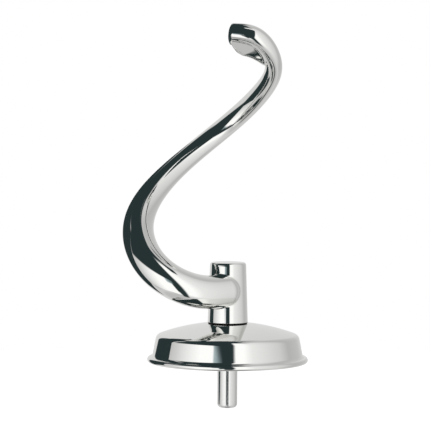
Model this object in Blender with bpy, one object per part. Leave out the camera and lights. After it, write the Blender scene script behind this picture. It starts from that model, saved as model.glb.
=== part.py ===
"""Spiral dough hook for a planetary mixer, standing on its drive shank: metres, +Z up, axis on Z."""

import math

import bmesh
import bpy
import numpy as np

GAP = 0.0003  # clearance kept between neighbouring pieces

# Drive shank: plain round pin, threaded collar for the nut, spigot pressed into the hub.
SHANK_R = 0.0057
SHANK_END_ROUND = 0.0022
SHANK_TOP_Z = 0.0375
THREAD_R = 0.0070
THREAD_TOP_Z = 0.0478
SPIGOT_R = 0.0060
SPIGOT_TOP_Z = 0.0700

# Cross pin inside the shield that carries the torque.
PIN_R = 0.0020
PIN_HALF_LENGTH = 0.0115
PIN_Z = 0.0325

# Pressed shield, radius and z: flat top, crowned cone down to the shoulder, skirt, rolled rim.
SHEET = 0.0011
SHIELD_HOLE_R = 0.0074
CONE_TOP = (0.0110, 0.0482)
CONE_FOOT = (0.0386, 0.0420)
CONE_CROWN = 0.0009
CONE_STEPS = 6
SHOULDER_ROUND = 0.0035
SHOULDER_DEGREES = (70, 12)
SKIRT_FOOT = (0.0428, 0.0300)
RIM_CENTER = (0.0441, 0.0275)
RIM_ROUND = 0.00165
RIM_DEGREES = (100, -160)

# Sealing ring between shield and hub.
GASKET_R = 0.0113
GASKET_Z = (0.0485, 0.0489)

# Hub: slightly tapered post with a rounded top edge and a blind bore for the spigot.
HUB_FOOT_R = 0.0114
HUB_TOP_R = 0.0102
HUB_Z = (0.0492, 0.0828)
HUB_TOP_ROUND = 0.0014
HUB_BORE_R = 0.0063
HUB_BORE_TOP_Z = 0.0720

# Clamping washer and thin hexagon nut under the shield.
WASHER_R = 0.0125
WASHER_Z = (0.0453, 0.0465)
NUT_ACROSS_FLATS = 0.0200
NUT_Z = (0.0390, 0.0450)
NUT_BORE_R = 0.0073

# Spiral arm, in mm, by eighth turns about the axis from the front, hub to tip: turn in degrees,
# reach of the centre line from the axis, its height, and the radius of the round bar.
ARM_TURNS = [
    (15, 7, 67, 9.5), (45, 20, 67, 9.5), (65, 40, 76, 9.5), (90, 51, 98, 9), (135, 45, 134, 6.5),
    (180, 40, 161, 6), (225, 29, 182, 5.5), (270, 24, 199, 5), (300, 15, 211, 5.5), (345, 8, 213, 5),
]
# The forged leaf at the tip: it points at one spot inside the curl and grows and fades by turn.
LEAF_TOWARD = (0.0, 4.0, 196.0)
LEAF_WIDTH = 13.0
LEAF_BEGIN, LEAF_FULL, LEAF_END = 245, 290, 345
LEAF_FADE = 0.5
LEAF_FACE = (2.0, 4.5)  # height of the leaf's face over the bar's centre, at its start and at full width
LEAF_EDGE = 3.0  # thickness at the free edge
LEAF_SOFT = 0.35  # rounding where the leaf leaves the bar
ROOT_ROUND = 8.0
TIP_ROUND = 2.6
ARM_RINGS = 116
ARM_SIDES = 44
CAP_RINGS = 6


def clear_scene():
    for thing in list(bpy.data.objects):
        bpy.data.objects.remove(thing, do_unlink=True)


def steel(name, color, roughness, metallic=1.0):
    material = bpy.data.materials.new(name)
    material.use_nodes = True
    shader = material.node_tree.nodes["Principled BSDF"]
    shader.inputs["Base Color"].default_value = (*color, 1.0)
    shader.inputs["Roughness"].default_value = roughness
    shader.inputs["Metallic"].default_value = metallic
    return material


def make_object(name, points, faces, material, sharp_degrees=35):
    mesh = bpy.data.meshes.new(name)
    mesh.from_pydata([tuple(map(float, p)) for p in points], [], faces)
    work = bmesh.new()
    work.from_mesh(mesh)
    bmesh.ops.recalc_face_normals(work, faces=work.faces)
    work.to_mesh(mesh)
    work.free()
    mesh.shade_smooth()
    mesh.set_sharp_from_angle(angle=math.radians(sharp_degrees))
    mesh.materials.append(material)
    obj = bpy.data.objects.new(name, mesh)
    bpy.context.scene.collection.objects.link(obj)
    return obj


def loft(name, rings, material, closed=False, sharp_degrees=35):
    """Skins equal rings of points; a closed loft joins the last ring to the first."""
    count = len(rings[0])
    points = [p for ring in rings for p in ring]
    faces = []
    for i in range(len(rings) if closed else len(rings) - 1):
        low, high = i * count, (i + 1) % len(rings) * count
        for j in range(count):
            k = (j + 1) % count
            faces.append((low + j, low + k, high + k, high + j))
    if not closed:
        faces.append(tuple(range(count)))
        faces.append(tuple(reversed(range(len(points) - count, len(points)))))
    return make_object(name, points, faces, material, sharp_degrees)


def circle(radius, z, sides):
    turns = [2 * math.pi * j / sides for j in range(sides)]
    return [(radius * math.cos(a), radius * math.sin(a), z) for a in turns]


def turned(name, line, sides, material, closed=False, sharp_degrees=35):
    """A piece turned about Z from (radius, z) points."""
    return loft(name, [circle(r, z, sides) for r, z in line], material, closed, sharp_degrees)


def corner(center_r, center_z, radius, start, stop, steps=5):
    """Points of a rounded corner, angles in degrees from the outward direction."""
    angles = [math.radians(start + (stop - start) * i / steps) for i in range(steps + 1)]
    return [(center_r + radius * math.cos(a), center_z + radius * math.sin(a)) for a in angles]


def cut(target, cutter, name):
    cutter.hide_render = True
    cutter.display_type = "WIRE"
    boolean = target.modifiers.new(name, "BOOLEAN")
    boolean.operation = "DIFFERENCE"
    boolean.solver = "EXACT"
    boolean.object = cutter


def cubic_through(rows, count):
    """Even samples, with their distances, of a natural cubic spline through the rows."""
    rows = np.array(rows, float)
    spans = np.linalg.norm(np.diff(rows[:, :3], axis=0), axis=1)
    knots = np.concatenate([[0.0], np.cumsum(spans)])
    size = len(knots)
    system, right = np.eye(size), np.zeros_like(rows)
    for i in range(1, size - 1):
        system[i, i - 1 : i + 2] = spans[i - 1], 2 * (spans[i - 1] + spans[i]), spans[i]
        slopes = (rows[i + 1] - rows[i]) / spans[i] - (rows[i] - rows[i - 1]) / spans[i - 1]
        right[i] = 6 * slopes
    bends = np.linalg.solve(system, right)
    along = np.linspace(0, knots[-1], count)
    i = np.clip(np.searchsorted(knots, along, side="right") - 1, 0, size - 2)
    span = spans[i][:, None]
    a = (knots[i + 1] - along)[:, None] / span
    b = 1 - a
    bow = ((a**3 - a) * bends[i] + (b**3 - b) * bends[i + 1]) * span**2 / 6
    return a * rows[i] + b * rows[i + 1] + bow, along


def unit(rows):
    return rows / np.linalg.norm(rows, axis=-1, keepdims=True)


def leaf_outline(turn, radius, reach, offset):
    """Distance from the bar's centre to the skin; turn 0 is the leaf's free edge, 90 its face."""
    def side(angle, distance):
        return np.maximum(np.cos(turn - angle), 1e-4) / distance

    long = max(reach, 0.6 * radius)
    taper = math.asin(min(max((radius - LEAF_EDGE + offset) / long, -0.2), 0.7))
    sides = (
        side(math.pi / 2, offset) ** 10 + side(taper - math.pi / 2, 0.97 * radius) ** 10
        + side(0.0, long) ** 10 + side(math.pi, 0.05 * radius) ** 10
        + side(taper - math.pi, 0.05 * radius) ** 10
    )
    grown = min(max((reach - 0.75 * radius) / (0.5 * radius), 0.0), 1.0)
    grown = grown * grown * (3 - 2 * grown)
    leaf = grown * sides**-0.1 + (1 - grown) * 0.5 * radius
    return LEAF_SOFT * np.logaddexp(radius / LEAF_SOFT, leaf / LEAF_SOFT)


def even_outline(radius, reach, offset):
    """(outward, faceward) points at even steps round the section."""
    turn = np.linspace(0, 2 * math.pi, 1441)
    far = leaf_outline(turn, radius, reach, offset)
    edge = np.stack([far * np.cos(turn), far * np.sin(turn)], -1)
    steps = np.linalg.norm(np.diff(edge, axis=0), axis=1)
    length = np.concatenate([[0.0], np.cumsum(steps)])
    places = np.linspace(0, length[-1], ARM_SIDES + 1)[:-1]
    return [np.interp(places, length, edge[:, c])[:, None] for c in (0, 1)]


def rounded_end(ring, center, direction, depth):
    turns = [math.pi / 2 * i / CAP_RINGS for i in range(1, CAP_RINGS + 1)]
    turns[-1] -= 0.12
    return [
        center + (ring - center) * math.cos(a) + direction * depth * math.sin(a) for a in turns
    ]


def arm_stations():
    """Centre line x, y, z with the bar's radius and the turn."""
    turn, reach, height, radius = np.array(ARM_TURNS, float).T
    swing = np.radians(turn)
    return np.stack([-reach * np.sin(swing), -reach * np.cos(swing), height, radius, turn], -1)


def leaf_spread(center, turn):
    """From the bar's centre to the leaf's free edge, and the height of the leaf's face."""
    grown = np.clip((turn - LEAF_BEGIN) / (LEAF_FULL - LEAF_BEGIN), 0, 1)
    grown = grown * grown * (3 - 2 * grown)
    late = np.clip((turn - LEAF_FULL) / (LEAF_END - LEAF_FULL), 0, 1)
    width = LEAF_WIDTH * grown * (1 - LEAF_FADE * late * late)
    spread = unit(np.array(LEAF_TOWARD) - center) * width[:, None]
    return spread, LEAF_FACE[0] + (LEAF_FACE[1] - LEAF_FACE[0]) * grown


def arm_rings():
    rows, along = cubic_through(arm_stations(), ARM_RINGS)
    center, radii, turn = rows[:, :3], rows[:, 3], rows[:, 4]
    spread, offsets = leaf_spread(center, turn)
    ahead = unit(np.gradient(center, along, axis=0))
    upward = unit(np.array([0.0, 0.0, 1.0]) - ahead[:, 2:] * ahead)
    sideways = np.cross(ahead, upward)
    lean = (spread * ahead).sum(1)
    across = spread - lean[:, None] * ahead
    reach = np.linalg.norm(across, axis=1)
    begin = int(np.argmax(reach > 0.6 * radii))
    angle = np.unwrap(np.arctan2((across * sideways).sum(1), (across * upward).sum(1)))
    angle[:begin], lean[:begin], reach[:begin] = angle[begin], 0.0, 0.0
    rings = []
    for i, (radius, offset) in enumerate(zip(radii, offsets)):
        a, b = even_outline(radius, reach[i], offset)
        outward = upward[i] * math.cos(angle[i]) + sideways[i] * math.sin(angle[i])
        share = np.clip((a - 0.4 * radius) / max(reach[i] - 0.4 * radius, 0.1), 0, 1.2)
        faceward = np.cross(ahead[i], outward)
        rings.append(center[i] + a * outward + b * faceward + ahead[i] * lean[i] * share**2)
    root = rounded_end(rings[0], center[0], -ahead[0], ROOT_ROUND)
    tip = rounded_end(rings[-1], rings[-1].mean(0), ahead[-1], TIP_ROUND)
    return [0.001 * ring for ring in root[::-1] + rings + tip]


def hub_outline(grow=0.0):
    """The hub's outside from foot to top, larger by grow all round."""
    low, high = HUB_Z
    line = [(HUB_FOOT_R + grow, low - grow)]
    line += corner(
        HUB_TOP_R - HUB_TOP_ROUND, high - HUB_TOP_ROUND, HUB_TOP_ROUND + grow, 0, 90
    )
    return line


def build_arm(material):
    arm = loft("spiral_arm", arm_rings(), material, sharp_degrees=50)
    cope = turned("arm_cope_cutter", hub_outline(GAP), 64, material)
    cut(arm, cope, "cope round hub")
    return arm


def build_hub(material):
    bore = [
        (0.0004, HUB_BORE_TOP_Z + 0.0015),
        (HUB_BORE_R, HUB_BORE_TOP_Z),
        (HUB_BORE_R, HUB_Z[0] + 0.0005),
        (HUB_BORE_R + 0.0005, HUB_Z[0]),
    ]
    return turned("hub", bore + hub_outline(), 64, material)


def shield_line():
    """The shield's outside from the edge of its flat top to the foot of its skirt."""
    (top_r, top_z), (foot_r, foot_z) = CONE_TOP, CONE_FOOT
    line = []
    for i in range(CONE_STEPS):
        share = i / CONE_STEPS
        bow = 4 * CONE_CROWN * share * (1 - share)
        line.append((top_r + (foot_r - top_r) * share, top_z + (foot_z - top_z) * share + bow))
    start, stop = SHOULDER_DEGREES
    center_r = foot_r - SHOULDER_ROUND * math.cos(math.radians(start))
    center_z = foot_z - SHOULDER_ROUND * math.sin(math.radians(start))
    line += corner(center_r, center_z, SHOULDER_ROUND, start, stop)
    last_r, last_z = line[-1]
    low_r, low_z = SKIRT_FOOT
    return line + [(last_r + (low_r - last_r) * s, last_z + (low_z - last_z) * s) for s in (0.5, 0.85, 1)]


def build_shield(material):
    line = shield_line()
    rim = corner(*RIM_CENTER, RIM_ROUND, *RIM_DEGREES, steps=13)
    inside = []
    for before, here, after in zip(line[:-2], line[1:-1], line[2:]):
        run = np.array(after) - np.array(before)
        normal = np.array([run[1], -run[0]]) / np.linalg.norm(run)
        inside.append(tuple(np.array(here) + SHEET * normal))
    inside.reverse()
    inside.append((SHIELD_HOLE_R, CONE_TOP[1] - SHEET))
    outside = [(SHIELD_HOLE_R, CONE_TOP[1])] + line + rim
    return turned("shield", outside + inside, 80, material, closed=True)


def build_shank(material):
    line = [(0.0004, 0.0)]
    line += corner(SHANK_R - SHANK_END_ROUND, SHANK_END_ROUND, SHANK_END_ROUND, -90, 0)
    line += [
        (SHANK_R, SHANK_TOP_Z - 0.0005),
        (THREAD_R, SHANK_TOP_Z + 0.0005),
        (THREAD_R, THREAD_TOP_Z),
        (SPIGOT_R, THREAD_TOP_Z + 0.0006),
        (SPIGOT_R, SPIGOT_TOP_Z - 0.0008),
        (SPIGOT_R - 0.0008, SPIGOT_TOP_Z),
    ]
    shank = turned("drive_shank", line, 48, material)
    hole = turned("pin_hole_cutter", [(PIN_R + GAP, -0.012), (PIN_R + GAP, 0.012)], 24, material)
    hole.rotation_euler = (0.0, math.pi / 2, 0.0)
    hole.location = (0.0, 0.0, PIN_Z)
    cut(shank, hole, "cross hole")
    return shank


def build_pin(material):
    chamfer = 0.0004
    end = PIN_HALF_LENGTH
    line = [
        (PIN_R - chamfer, -end), (PIN_R, chamfer - end), (PIN_R, end - chamfer),
        (PIN_R - chamfer, end),
    ]
    pin = turned("drive_pin", line, 24, material)
    pin.rotation_euler = (0.0, math.pi / 2, 0.0)
    pin.location = (0.0, 0.0, PIN_Z)
    return pin


def ring_piece(name, inner, outer, z, edge, sides, material):
    low, high = z
    line = [
        (inner, low), (outer - edge, low), (outer, low + edge), (outer, high - edge),
        (outer - edge, high), (inner, high),
    ]
    return turned(name, line, sides, material, closed=True)


def build_nut(material):
    low, high = NUT_Z
    chamfer = 0.0008
    reach = NUT_ACROSS_FLATS / 2 / math.cos(math.pi / 6)

    def hexagon(z, most):
        ring = []
        for j in range(48):
            turn = 2 * math.pi * j / 48
            to_flat = (turn + math.pi / 6) % (math.pi / 3) - math.pi / 6
            radius = min(NUT_ACROSS_FLATS / 2 / math.cos(to_flat), most)
            ring.append((radius * math.cos(turn), radius * math.sin(turn), z))
        return ring

    rings = [
        circle(NUT_BORE_R, low, 48),
        hexagon(low, NUT_ACROSS_FLATS / 2 - 0.0002),
        hexagon(low + chamfer, reach),
        hexagon(high - chamfer, reach),
        hexagon(high, NUT_ACROSS_FLATS / 2 - 0.0002),
        circle(NUT_BORE_R, high, 48),
    ]
    return loft("clamp_nut", rings, material, closed=True, sharp_degrees=20)


def main():
    clear_scene()
    build_arm(steel("arm_polished_steel", (0.80, 0.80, 0.78), 0.07))
    build_hub(steel("hub_polished_steel", (0.81, 0.81, 0.79), 0.09))
    build_shield(steel("shield_polished_sheet", (0.79, 0.79, 0.77), 0.08))
    build_shank(steel("shank_turned_steel", (0.72, 0.72, 0.71), 0.24))
    ring_piece(
        "seam_gasket", THREAD_R + 2 * GAP, GASKET_R, GASKET_Z, 0.0001, 64,
        steel("gasket_rubber", (0.02, 0.02, 0.02), 0.6, 0.0),
    )
    ring_piece(
        "clamp_washer", THREAD_R + GAP, WASHER_R, WASHER_Z, 0.0003, 48,
        steel("washer_steel", (0.66, 0.66, 0.65), 0.32),
    )
    build_nut(steel("nut_steel", (0.63, 0.63, 0.62), 0.30))
    build_pin(steel("pin_steel", (0.60, 0.60, 0.60), 0.28))


main()
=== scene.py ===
"""Spiral dough hook on its drive shank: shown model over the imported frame, studio, floor, camera."""

import math

import bmesh
import bpy
import numpy as np
from mathutils import Matrix, Vector


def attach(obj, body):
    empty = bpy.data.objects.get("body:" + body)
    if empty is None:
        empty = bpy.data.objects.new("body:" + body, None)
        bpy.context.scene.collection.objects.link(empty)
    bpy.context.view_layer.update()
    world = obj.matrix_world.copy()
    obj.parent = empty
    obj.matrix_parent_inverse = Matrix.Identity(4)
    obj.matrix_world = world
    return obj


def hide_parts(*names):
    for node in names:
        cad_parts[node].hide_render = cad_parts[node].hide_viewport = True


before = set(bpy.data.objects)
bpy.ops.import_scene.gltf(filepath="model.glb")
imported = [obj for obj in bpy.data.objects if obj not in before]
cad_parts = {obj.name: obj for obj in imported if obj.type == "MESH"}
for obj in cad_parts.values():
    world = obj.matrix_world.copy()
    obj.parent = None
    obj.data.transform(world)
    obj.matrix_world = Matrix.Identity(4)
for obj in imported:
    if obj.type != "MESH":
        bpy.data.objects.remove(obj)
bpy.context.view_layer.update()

MM = 0.001

# ---------------------------------------------------------------- sizes in mm, as in the CAD
ARM_TURNS = [  # turn about the axis from the front, reach, height, bar radius
    (15, 7, 67, 9.5), (45, 20, 67, 9.5), (65, 40, 76, 9.5), (90, 51, 98, 9), (135, 45, 134, 6.5),
    (180, 40, 161, 6), (225, 29, 182, 5.5), (270, 24, 199, 5), (300, 15, 211, 5.5), (345, 8, 213, 5),
]
LEAF_TOWARD = (0.0, 4.0, 196.0)
LEAF_WIDTH = 13.0
LEAF_BEGIN, LEAF_FULL, LEAF_END = 245, 290, 345
LEAF_FADE = 0.5
LEAF_FACE = (2.0, 4.5)  # height of the leaf's face over the bar's centre: at its start, at full width
LEAF_EDGE = 3.0
LEAF_SOFT = 0.35
ROOT_ROUND = 8.0
TIP_ROUND = 2.6
FINE_SKIN = 0.03  # taken off the bar and the rim, since finer facets stand prouder than the CAD's

SHIELD_HOLE_R = 7.4
CONE_TOP, CONE_FOOT, CONE_CROWN = (11.0, 48.2), (38.6, 42.0), 0.9
SHOULDER_ROUND, SHOULDER_DEGREES = 3.5, (70, 12)
SKIRT_FOOT = (42.8, 30.0)
RIM_CENTER, RIM_ROUND, RIM_DEGREES = (44.1, 27.5), 1.65, (100, -160)
SHEET = 1.1
HUB_FOOT_R, HUB_TOP_R, HUB_LOW, HUB_HIGH, HUB_ROUND = 11.4, 10.2, 48.8, 82.8, 1.4
HUB_FOOT_ROUND = 0.25
HUB_BORE_R = 6.3
WELD_FILLET = 0.9  # hollow fillet between arm and hub
WELD_SUNK = 0.15  # how far the fillet's foot dips into the hub


# ---------------------------------------------------------------- mesh helpers
def unit(v):
    return v / np.linalg.norm(v, axis=-1, keepdims=True)


def grid_object(name, grid, wrap_rows=False, sharp=40):
    """A smooth skin over grid[row, column], in mm, with its columns joined round."""
    rows, columns = grid.shape[:2]
    points = grid.reshape(-1, 3) * MM
    i = np.arange(rows if wrap_rows else rows - 1)[:, None]
    j = np.arange(columns)[None, :]
    k, h = (j + 1) % columns, (i + 1) % rows
    faces = np.stack(np.broadcast_arrays(
        i * columns + j, i * columns + k, h * columns + k, h * columns + j), -1).reshape(-1, 4)
    mesh = bpy.data.meshes.new(name)
    mesh.from_pydata(points.tolist(), [], faces.tolist())
    work = bmesh.new()
    work.from_mesh(mesh)
    bmesh.ops.remove_doubles(work, verts=work.verts, dist=1e-7)
    bmesh.ops.recalc_face_normals(work, faces=work.faces)
    work.to_mesh(mesh)
    work.free()
    mesh.shade_smooth()
    if sharp:
        mesh.set_sharp_from_angle(angle=math.radians(sharp))
    obj = bpy.data.objects.new(name, mesh)
    bpy.context.scene.collection.objects.link(obj)
    return obj


def turned(line, sides=192):
    turn = np.linspace(0, 2 * math.pi, sides, endpoint=False)
    line = np.array(line, float)
    return np.stack([
        line[:, :1] * np.cos(turn), line[:, :1] * np.sin(turn),
        np.repeat(line[:, 1:], sides, 1)], -1)


def cubic_through(rows, count):
    """Even samples, with their distances, of a natural cubic spline through the rows."""
    rows = np.array(rows, float)
    spans = np.linalg.norm(np.diff(rows[:, :3], axis=0), axis=1)
    knots = np.concatenate([[0.0], np.cumsum(spans)])
    size = len(knots)
    system, right = np.eye(size), np.zeros_like(rows)
    for i in range(1, size - 1):
        system[i, i - 1 : i + 2] = spans[i - 1], 2 * (spans[i - 1] + spans[i]), spans[i]
        right[i] = 6 * (
            (rows[i + 1] - rows[i]) / spans[i] - (rows[i] - rows[i - 1]) / spans[i - 1])
    bends = np.linalg.solve(system, right)
    along = np.linspace(0, knots[-1], count)
    i = np.clip(np.searchsorted(knots, along, side="right") - 1, 0, size - 2)
    span = spans[i][:, None]
    a = (knots[i + 1] - along)[:, None] / span
    b = 1 - a
    bow = ((a**3 - a) * bends[i] + (b**3 - b) * bends[i + 1]) * span**2 / 6
    return a * rows[i] + b * rows[i + 1] + bow, along


def corner(center_r, center_z, radius, start, stop, steps=10):
    angles = np.radians(np.linspace(start, stop, steps + 1))
    return list(zip(center_r + radius * np.cos(angles), center_z + radius * np.sin(angles)))


# ---------------------------------------------------------------- spiral arm
def leaf_outline(turn, radius, reach, offset):
    """Distance from the bar's centre to the skin; turn 0 is the leaf's free edge, 90 its face."""
    def side(angle, distance):
        return np.maximum(np.cos(turn - angle), 1e-4) / distance

    long = np.maximum(reach, 0.6 * radius)
    taper = np.arcsin(np.clip((radius - LEAF_EDGE + offset) / long, -0.2, 0.7))
    sides = (
        side(math.pi / 2, offset) ** 10 + side(taper - math.pi / 2, 0.97 * radius) ** 10
        + side(0.0, long) ** 10 + side(math.pi, 0.05 * radius) ** 10
        + side(taper - math.pi, 0.05 * radius) ** 10)
    grown = np.clip((reach - 0.75 * radius) / (0.5 * radius), 0, 1)
    grown = grown * grown * (3 - 2 * grown)
    leaf = grown * sides**-0.1 + (1 - grown) * 0.5 * radius
    return LEAF_SOFT * np.logaddexp(radius / LEAF_SOFT, leaf / LEAF_SOFT)


def arm_stations():
    """Centre line x, y, z with the bar's radius and the turn."""
    turn, reach, height, radius = np.array(ARM_TURNS, float).T
    swing = np.radians(turn)
    return np.stack([-reach * np.sin(swing), -reach * np.cos(swing), height, radius, turn], -1)


def leaf_spread(center, turn):
    """From the bar's centre to the leaf's free edge, and the height of the leaf's face."""
    grown = np.clip((turn - LEAF_BEGIN) / (LEAF_FULL - LEAF_BEGIN), 0, 1)
    grown = grown * grown * (3 - 2 * grown)
    late = np.clip((turn - LEAF_FULL) / (LEAF_END - LEAF_FULL), 0, 1)
    width = LEAF_WIDTH * grown * (1 - LEAF_FADE * late * late)
    spread = unit(np.array(LEAF_TOWARD) - center) * width[:, None]
    return spread, LEAF_FACE[0] + (LEAF_FACE[1] - LEAF_FACE[0]) * grown


def arm_grid(rings=760, sides=240, cap=60):
    rows, along = cubic_through(arm_stations(), rings)
    center, radii, turned_by = rows[:, :3], rows[:, 3] - FINE_SKIN, rows[:, 4]
    spread, offsets = leaf_spread(center, turned_by)
    ahead = unit(np.gradient(center, along, axis=0))
    upward = unit(np.array([0.0, 0.0, 1.0]) - ahead[:, 2:] * ahead)
    sideways = np.cross(ahead, upward)
    lean = (spread * ahead).sum(1)
    across = spread - lean[:, None] * ahead
    reach = np.linalg.norm(across, axis=1)
    begin = int(np.argmax(reach > 0.6 * radii))
    angle = np.unwrap(np.arctan2((across * sideways).sum(1), (across * upward).sum(1)))
    angle[:begin], lean[:begin], reach[:begin] = angle[begin], 0, 0
    turn = np.linspace(0, 2 * math.pi, 1441)
    grid = []
    for i, (radius, offset) in enumerate(zip(radii, offsets)):
        far = leaf_outline(turn, radius, reach[i], offset)
        edge = np.stack([far * np.cos(turn), far * np.sin(turn)], -1)
        length = np.concatenate([[0], np.cumsum(np.linalg.norm(np.diff(edge, axis=0), axis=1))])
        places = np.linspace(0, length[-1], sides + 1)[:-1]
        a, b = (np.interp(places, length, edge[:, c])[:, None] for c in (0, 1))
        outward = upward[i] * math.cos(angle[i]) + sideways[i] * math.sin(angle[i])
        share = np.clip((a - 0.4 * radius) / max(reach[i] - 0.4 * radius, 0.1), 0, 1.2)
        faceward = np.cross(ahead[i], outward)
        grid.append(center[i] + a * outward + b * faceward + ahead[i] * lean[i] * share**2)
    grid = np.array(grid)

    def rounded(ring, middle, direction, depth):
        swing = np.linspace(0, math.pi / 2, cap + 1)[1:, None, None]
        return middle + (ring - middle) * np.cos(swing) + direction * depth * np.sin(swing)

    root = rounded(grid[0], center[0], -ahead[0], ROOT_ROUND)[::-1]
    tip = rounded(grid[-1], grid[-1].mean(0), ahead[-1], TIP_ROUND)
    return np.concatenate([root, grid, tip])


def hub_radius(z):
    return HUB_FOOT_R + (HUB_TOP_R - HUB_FOOT_R) * (z - HUB_LOW) / (HUB_HIGH - HUB_LOW)


def trimmed_to_hub(grid, near_mm=46.0, rows=170, steps=12):
    """The arm's skin ended where it meets the hub, and led onto it by a small hollow fillet."""
    step = np.linalg.norm(np.diff(grid.mean(1), axis=0), axis=1)
    start = int(np.searchsorted(np.cumsum(step), near_mm))
    lines = []
    for j in range(grid.shape[1]):
        line = grid[:, j]
        off = np.hypot(line[:, 0], line[:, 1]) - hub_radius(line[:, 2])
        i = start
        while off[i] > 0:
            i -= 1
        share = off[i + 1] / (off[i + 1] - off[i])
        hit = line[i + 1] + (line[i] - line[i + 1]) * share
        path = np.concatenate([[hit], line[i + 1 : start + 1]])
        length = np.concatenate([[0], np.cumsum(np.linalg.norm(np.diff(path, axis=0), axis=1))])
        wanted = np.linspace(WELD_FILLET, length[-1], rows)
        body = np.stack([np.interp(wanted, length, path[:, c]) for c in range(3)], -1)
        lines.append((hit, body))
    hits = np.array([hit for hit, _ in lines])
    round_hub = unit(hits * [1, 1, 0])
    edge = unit(np.roll(hits, -1, 0) - np.roll(hits, 1, 0))
    away = unit(np.cross(edge, round_hub))
    middle = hits.mean(0)
    away *= np.sign(((hits - middle) * away).sum(-1, keepdims=True))
    foot = hits + WELD_FILLET * away
    reach = hub_radius(foot[:, 2]) / np.hypot(foot[:, 0], foot[:, 1])
    foot[:, :2] *= reach[:, None]
    first = np.array([body[0] for _, body in lines])
    t = np.linspace(0, 1, steps + 1)[:, None, None]
    hollow = (1 - t) ** 2 * first + 2 * t * (1 - t) * hits + t**2 * foot
    sunk = foot - round_hub * WELD_SUNK
    near = np.stack([body for _, body in lines], 1)
    return np.concatenate([sunk[None], hollow[::-1], near[1:], grid[start + 1 :]])


# ---------------------------------------------------------------- materials
def material(name, color, roughness, **more):
    made = bpy.data.materials.new(name)
    made.use_nodes = True
    tree = made.node_tree
    shader = tree.nodes["Principled BSDF"]
    shader.inputs["Base Color"].default_value = (*color, 1)
    shader.inputs["Roughness"].default_value = roughness
    shader.inputs["Metallic"].default_value = more.get("metallic", 1.0)
    return made, tree, shader


def polished(name, color, roughness):
    """Buffed stainless steel: a faint cloudiness in the roughness, from a coarse noise times a fine
    one.
    """
    made, tree, shader = material(name, color, roughness)
    node, link = tree.nodes.new, tree.links.new
    where = node("ShaderNodeTexCoord")
    cloud = node("ShaderNodeTexNoise")
    cloud.inputs["Scale"].default_value = 38
    cloud.inputs["Detail"].default_value = 4
    link(where.outputs["Object"], cloud.inputs["Vector"])
    fine = node("ShaderNodeTexNoise")
    fine.inputs["Scale"].default_value = 900
    fine.inputs["Detail"].default_value = 2
    link(where.outputs["Object"], fine.inputs["Vector"])
    both = node("ShaderNodeMath")
    both.operation = "MULTIPLY"
    link(cloud.outputs["Fac"], both.inputs[0])
    link(fine.outputs["Fac"], both.inputs[1])
    spread = node("ShaderNodeMapRange")
    spread.inputs["From Min"].default_value = 0.1
    spread.inputs["From Max"].default_value = 0.4
    spread.inputs["To Min"].default_value = roughness * 0.7
    spread.inputs["To Max"].default_value = roughness * 1.4
    link(both.outputs[0], spread.inputs["Value"])
    link(spread.outputs[0], shader.inputs["Roughness"])
    return made


# ---------------------------------------------------------------- pieces
def shown(obj, skin, slot, *nodes):
    obj.data.materials.append(skin)
    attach(obj, "root")
    if nodes:
        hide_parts(*nodes)
    return obj


arm_skin = polished("arm_polish", (0.86, 0.86, 0.84), 0.035)
hub_skin = polished("hub_polish", (0.86, 0.86, 0.84), 0.045)
shield_skin = polished("shield_polish", (0.86, 0.86, 0.84), 0.04)
shank_skin = polished("shank_polish", (0.80, 0.80, 0.79), 0.16)
dull_skin = polished("dull_steel", (0.66, 0.66, 0.65), 0.28)
# Near-black painted shade for the thin ring in the hub-to-shield seam, standing in for the shadow gap
# there
seam_shade_skin = material("seam_shade_black", (0.012, 0.012, 0.012), 0.5, metallic=0)[0]

arm = grid_object("arm_skin", trimmed_to_hub(arm_grid()), sharp=60)
shown(arm, arm_skin, "arm_steel", "spiral_arm")

hub_line = [(HUB_BORE_R, HUB_LOW), (HUB_FOOT_R - HUB_FOOT_ROUND, HUB_LOW)]
hub_line += corner(
    HUB_FOOT_R - HUB_FOOT_ROUND, HUB_LOW + HUB_FOOT_ROUND, HUB_FOOT_ROUND, -80, 0, 5)
hub_line += [(hub_radius(z), z) for z in np.linspace(HUB_LOW + 0.6, HUB_HIGH - HUB_ROUND - 0.3, 60)]
hub_line += corner(HUB_TOP_R - HUB_ROUND, HUB_HIGH - HUB_ROUND, HUB_ROUND, 0, 90, 16)
hub_line += [(r, HUB_HIGH) for r in np.linspace(HUB_TOP_R - HUB_ROUND - 0.2, 0.0, 14)]
hub = grid_object("hub_skin", turned(hub_line))
shown(hub, hub_skin, "hub_steel", "hub")

share = np.linspace(0, 1, 90)[:, None]
cone = np.array(CONE_TOP) + (np.array(CONE_FOOT) - CONE_TOP) * share
cone[:, 1:] += 4 * CONE_CROWN * share * (1 - share)
lean = math.radians(SHOULDER_DEGREES[0])
shoulder = np.array(corner(
    CONE_FOOT[0] - SHOULDER_ROUND * math.cos(lean), CONE_FOOT[1] - SHOULDER_ROUND * math.sin(lean),
    SHOULDER_ROUND, *SHOULDER_DEGREES, 40))
skirt = shoulder[-1] + (np.array(SKIRT_FOOT) - shoulder[-1]) * np.linspace(0, 1, 41)[1:, None]
plate = np.concatenate([[(SHIELD_HOLE_R, CONE_TOP[1])], cone, shoulder[1:], skirt])
run = np.gradient(plate, axis=0)
normal = unit(np.stack([run[:, 1], -run[:, 0]], -1))
inner = (plate + SHEET * normal)[:-6][::-1]
rim = np.array(corner(*RIM_CENTER, RIM_ROUND - FINE_SKIN, *RIM_DEGREES, 60))
outer = np.concatenate([plate, rim])
shield = grid_object("shield_skin", turned(np.concatenate([outer, inner]), 320), wrap_rows=True)
shown(shield, shield_skin, "shield_steel", "shield")

# The seam ring gets the near-black painted shade of the seam's shadow gap; the other pieces are steel
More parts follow.
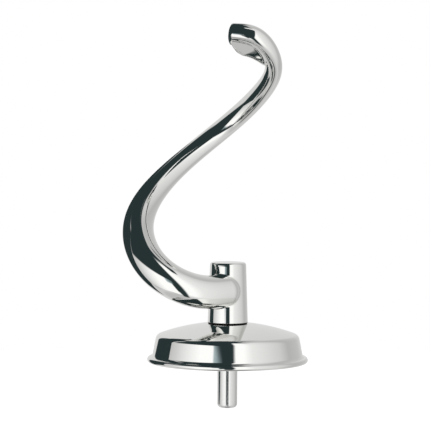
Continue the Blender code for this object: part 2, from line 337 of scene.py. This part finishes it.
for node, skin, slot in (
    ("drive_shank", shank_skin, "shank_steel"), ("seam_gasket", seam_shade_skin, "gasket_rubber"),
    ("clamp_washer", dull_skin, "washer_steel"), ("clamp_nut", dull_skin, "nut_steel"),
    ("drive_pin", dull_skin, "pin_steel")):
    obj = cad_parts[node]
    obj.data.materials.clear()
    obj.data.materials.append(skin)


# ---------------------------------------------------------------- floor
def make_floor():
    mesh = bpy.data.meshes.new("floor")
    radius, sides = 0.32, 96
    turns = [2 * math.pi * i / sides for i in range(sides)]
    ring = [(radius * math.cos(a), radius * math.sin(a), 0.0) for a in turns]
    mesh.from_pydata(ring, [], [tuple(range(sides))])
    floor = bpy.data.objects.new("floor", mesh)
    bpy.context.scene.collection.objects.link(floor)
    made, tree, shader = material("floor_white", (0.35, 0.35, 0.35), 0.8, metallic=0)
    shader.inputs["Emission Color"].default_value = (1.0, 1.0, 1.0, 1)
    seen = tree.nodes.new("ShaderNodeLightPath")
    level = tree.nodes.new("ShaderNodeMapRange")
    level.inputs["To Min"].default_value = 0.42
    level.inputs["To Max"].default_value = 0.92
    tree.links.new(seen.outputs["Is Camera Ray"], level.inputs["Value"])
    tree.links.new(level.outputs[0], shader.inputs["Emission Strength"])
    mesh.materials.append(made)
    floor.visible_glossy = False


make_floor()


# ---------------------------------------------------------------- studio
DARK = (0.020, 0.032, 0.034)
GLOW = 1.15


class Nodes:
    """Short ways to add nodes to one tree."""

    def __init__(self, tree):
        self.tree = tree
        tree.nodes.clear()

    def add(self, kind):
        return self.tree.nodes.new(kind)

    def feed(self, value, socket):
        if isinstance(value, tuple):
            socket.default_value = (*value, 1)
        elif isinstance(value, (int, float)):
            socket.default_value = value
        else:
            self.tree.links.new(value, socket)

    def math(self, kind, *inputs):
        made = self.add("ShaderNodeMath")
        made.operation = kind
        for value, socket in zip(inputs, made.inputs):
            self.feed(value, socket)
        return made.outputs[0]

    def step(self, value, low, high):
        made = self.add("ShaderNodeMapRange")
        made.interpolation_type = "SMOOTHSTEP"
        made.inputs["From Min"].default_value = low
        made.inputs["From Max"].default_value = high
        self.feed(value, made.inputs["Value"])
        return made.outputs[0]

    def ramp(self, value, low, high, stops):
        """A colour ramp whose stops are given in the value's own units, between low and high."""
        share = self.math("DIVIDE", self.math("SUBTRACT", value, low), high - low)
        made = self.add("ShaderNodeValToRGB")
        self.feed(share, made.inputs[0])
        elements = made.color_ramp.elements
        elements.remove(elements[-1])
        for i, (at, level) in enumerate(stops):
            place = (at - low) / (high - low)
            element = elements[0] if i == 0 else elements.new(place)
            element.position = place
            element.color = (*level, 1) if isinstance(level, tuple) else (level, level, level, 1)
        return made.outputs[0]

    def mix(self, share, first, second):
        made = self.add("ShaderNodeMix")
        made.data_type = "RGBA"
        self.feed(share, made.inputs[0])
        self.feed(first, made.inputs["A"])
        self.feed(second, made.inputs["B"])
        return made.outputs["Result"]


def surroundings():
    """Pale all round but for a black front and left, a black ceiling, and a low white band in front."""
    world = bpy.data.worlds.new("studio")
    bpy.context.scene.world = world
    world.use_nodes = True
    nodes = Nodes(world.node_tree)
    way, split = nodes.add("ShaderNodeTexCoord"), nodes.add("ShaderNodeSeparateXYZ")
    nodes.feed(way.outputs["Generated"], split.inputs[0])
    x, y, z = split.outputs
    turn = nodes.math("DEGREES", nodes.math("ARCTAN2", x, nodes.math("MULTIPLY", y, -1.0)))
    rise = nodes.math("DEGREES", nodes.math("ARCSINE", z))
    level = nodes.ramp(turn, -180, 180, [
        (-180, 0.66), (-100, 0.62), (-93, DARK), (9, DARK), (13, 1.0), (26, 1.0), (40, 0.80),
        (65, 0.70), (90, 0.6), (110, 0.45), (140, 0.5), (180, 0.66)])
    top = nodes.ramp(turn, -180, 180, [
        (-180, 0.45), (-150, 0.40), (-130, DARK), (62, DARK), (72, 0.5), (180, 0.45)])
    low = nodes.ramp(turn, -180, 180, [
        (-180, 0.60), (-120, 0.58), (-40, 0.60), (-25, 0.5), (-6, 0.5), (-3, DARK), (8, DARK),
        (12, 0.6), (60, 0.6), (180, 0.60)])
    sky = nodes.mix(nodes.step(rise, 60, 72), level, top)
    round_back = nodes.step(nodes.math("ABSOLUTE", turn), 158, 166)
    behind = nodes.math("MULTIPLY", nodes.step(rise, 44, 52), round_back)
    sky = nodes.mix(behind, sky, DARK)
    left = nodes.math("MULTIPLY", nodes.step(rise, 44, 52), nodes.step(turn, -85, -95))
    sky = nodes.mix(left, sky, DARK)
    sky = nodes.mix(nodes.step(rise, -35, -55), sky, low)
    sky = nodes.mix(nodes.step(rise, -55, -61), sky, (0.5, 0.5, 0.5))
    sky = nodes.mix(nodes.step(rise, -70, -76), sky, (0.10, 0.11, 0.11))
    sky = nodes.mix(nodes.step(rise, 76, 80), sky, DARK)
    near = nodes.math("MULTIPLY", nodes.step(rise, -20, -26), nodes.step(rise, -54, -48))
    sides = nodes.math("MULTIPLY", nodes.step(turn, -70, -55), nodes.step(turn, -3, -8))
    near = nodes.math("MULTIPLY", near, sides)
    sky = nodes.mix(near, sky, (1.0, 1.0, 1.0))
    seen, pick = nodes.add("ShaderNodeLightPath"), nodes.add("ShaderNodeMixShader")
    plain, cast = nodes.add("ShaderNodeBackground"), nodes.add("ShaderNodeBackground")
    plain.inputs[0].default_value = (1, 1, 1, 1)
    nodes.feed(sky, cast.inputs[0])
    cast.inputs[1].default_value = GLOW
    nodes.feed(seen.outputs["Is Camera Ray"], pick.inputs[0])
    nodes.feed(cast.outputs[0], pick.inputs[1])
    nodes.feed(plain.outputs[0], pick.inputs[2])
    nodes.feed(pick.outputs[0], nodes.add("ShaderNodeOutputWorld").inputs["Surface"])


def stand_card(name, place, facing, left, right, bottom, high):
    """An upright card seen only in reflections; returns its material's nodes and its own u and z."""
    mesh = bpy.data.meshes.new(name)
    mesh.from_pydata(
        [(left, 0, bottom), (right, 0, bottom), (right, 0, high), (left, 0, high)], [], [(0, 1, 2, 3)])
    card = bpy.data.objects.new(name, mesh)
    bpy.context.scene.collection.objects.link(card)
    card.location = (*place, 0)
    card.rotation_euler = (0, 0, math.radians(facing))
    made = bpy.data.materials.new(name)
    made.use_nodes = True
    mesh.materials.append(made)
    card.visible_camera = card.visible_diffuse = card.visible_shadow = False
    nodes = Nodes(made.node_tree)
    place, split = nodes.add("ShaderNodeTexCoord"), nodes.add("ShaderNodeSeparateXYZ")
    nodes.feed(place.outputs["Object"], split.inputs[0])
    return nodes, split.outputs[0], split.outputs[2]


def light_up(nodes, shape, glow):
    """Ends a card's material: glowing inside the shape, clear outside it."""
    light, clear = nodes.add("ShaderNodeEmission"), nodes.add("ShaderNodeBsdfTransparent")
    nodes.feed(glow, light.inputs["Color"])
    light.inputs["Strength"].default_value = GLOW
    pick = nodes.add("ShaderNodeMixShader")
    nodes.feed(shape, pick.inputs[0])
    nodes.feed(clear.outputs[0], pick.inputs[1])
    nodes.feed(light.outputs[0], pick.inputs[2])
    nodes.feed(pick.outputs[0], nodes.add("ShaderNodeOutputMaterial").inputs["Surface"])


def reflector():
    """A tall white card to the left of the object, its far upper corner cut off, with soft edges."""
    nodes, u, z = stand_card("left_card", (-0.180, -0.126), -55, -0.420, 0.250, -0.180, 0.126)
    slant = nodes.math("SUBTRACT", u, nodes.math("MULTIPLY_ADD", z, 2.17, -0.422))
    shape = nodes.math("MULTIPLY", nodes.step(slant, -0.016, 0.016), nodes.step(u, 0.248, 0.236))
    shape = nodes.math("MULTIPLY", shape, nodes.step(z, 0.124, 0.104))
    shape = nodes.math("MULTIPLY", shape, nodes.step(z, -0.170, -0.120))
    upper = nodes.ramp(u, -0.352, 0.250, [
        (-0.352, 0.30), (-0.100, 0.62), (0.060, 1.0), (0.145, 1.0), (0.158, (0.40, 0.48, 0.50)),
        (0.195, (0.22, 0.28, 0.30)), (0.250, (0.10, 0.13, 0.14))])
    lower = nodes.ramp(u, -0.352, 0.250, [
        (-0.352, 0.30), (-0.100, 0.62), (0.060, 1.0), (0.203, 1.0), (0.218, DARK)])
    light_up(nodes, shape, nodes.mix(nodes.step(z, 0.030, 0.070), lower, upper))


def flags():
    """Three black cards: behind the arm's middle with a raised corner, left of the tip, in front."""
    nodes, u, z = stand_card("left_flag", (-0.042, 0.074), -142.3, -0.002, 0.128, -0.020, 0.182)
    raised = nodes.math("SUBTRACT", z, nodes.math("MULTIPLY_ADD", u, -0.5, 0.122))
    notch = nodes.math("MULTIPLY", nodes.step(u, 0.047, 0.043), nodes.step(raised, 0.003, -0.003))
    shape = nodes.math("MULTIPLY", nodes.step(z, 0.181, 0.177), nodes.step(z, -0.018, -0.006))
    light_up(nodes, nodes.math("MULTIPLY", shape, nodes.math("SUBTRACT", 1.0, notch)), DARK)
    nodes, u, z = stand_card("tip_flag", (-0.025, -0.030), -100, -0.080, 0.002, 0.199, 0.250)
    light_up(nodes, nodes.step(z, 0.199, 0.203), DARK)
    nodes, u, z = stand_card("front_flag", (0.0, -0.067), 0, 0.0, 0.080, 0.150, 0.305)
    edge = nodes.math("SUBTRACT", u, nodes.math("MULTIPLY_ADD", z, 0.4, -0.050))
    shape = nodes.math("MULTIPLY", nodes.step(edge, 0.002, -0.002), nodes.step(z, 0.152, 0.160))
    light_up(nodes, shape, DARK)


surroundings()
reflector()
flags()


# ---------------------------------------------------------------- camera
def make_camera():
    data = bpy.data.cameras.new("camera")
    data.lens, data.sensor_width = 192.2, 36.0
    camera = bpy.data.objects.new("camera", data)
    bpy.context.scene.collection.objects.link(camera)
    camera.location = (0.0, -1.3, 0.176)
    aim = Vector((-0.0076, 0.0, 0.1096)) - camera.location
    camera.rotation_mode = "QUATERNION"
    roll = Matrix.Rotation(math.radians(0.35), 4, "Z").to_quaternion()
    camera.rotation_quaternion = aim.to_track_quat("-Z", "Y") @ roll
    bpy.context.scene.camera = camera


make_camera()
bpy.context.scene.view_settings.view_transform = "Standard"
